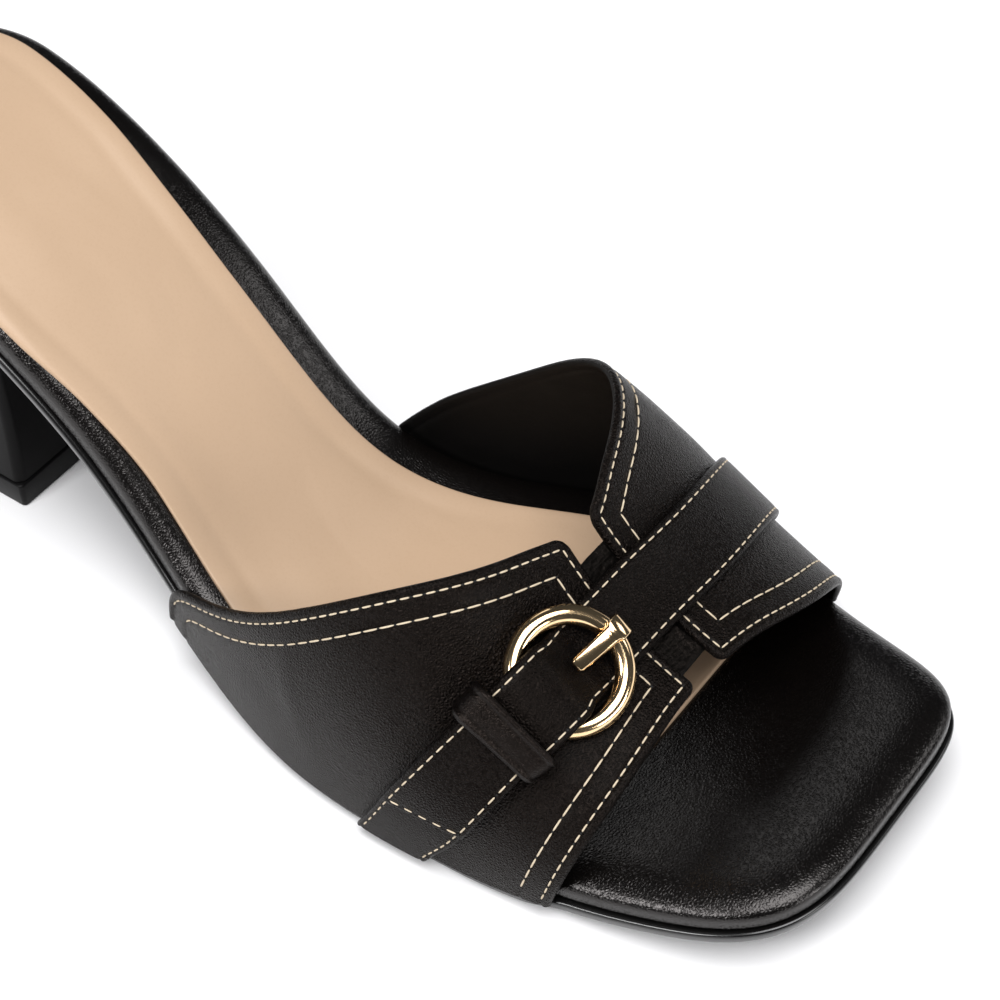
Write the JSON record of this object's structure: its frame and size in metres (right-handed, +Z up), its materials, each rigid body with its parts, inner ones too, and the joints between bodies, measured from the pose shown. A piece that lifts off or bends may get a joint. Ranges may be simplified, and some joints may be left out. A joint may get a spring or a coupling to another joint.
{
  "type": "block-heeled slide sandal",
  "caption": "Open-toed slip-on mule for the right foot: hollow vamp of panels joined by a gore, belt strap with ring buckle over it, padded footbed and block heel.",
  "frame": {"origin": "Bottom centre of the whole shoe's bounding box, on the floor that the heel and the forefoot stand on", "axes": "+X runs from the heel to the toe, +Y to the inner (medial) side of the foot, +Z up"},
  "size_m": [0.2244, 0.094, 0.0689],
  "materials": {
    "outsole_rubber": "thin black outsole, smooth and slightly glossy on its edge",
    "footbed_leather": "black leather wrapped over a padded, rounded rim, soft sheen",
    "sock_leather": "beige smooth lining leather, matte",
    "vamp_leather": "black fine-grained leather with a soft sheen, cream stitching, black lining and dark elastic gore",
    "strap_leather": "black fine-grained leather with cream edge stitching",
    "buckle_metal": "polished pale gold plating",
    "heel_cover": "smooth satin black covered heel",
    "top_lift_rubber": "satin black top-lift"
  },
  "bodies": {
    "root": {"outsole": "outsole_rubber", "footbed": "footbed_leather", "insole_sock": "sock_leather", "upper": "vamp_leather", "strap": "strap_leather", "strap_anchor": "strap_leather", "strap_keeper": "strap_leather", "buckle_ring": "buckle_metal", "buckle_prong": "buckle_metal", "heel": "heel_cover", "heel_top_lift": "top_lift_rubber"}
  },
  "joints": []
}
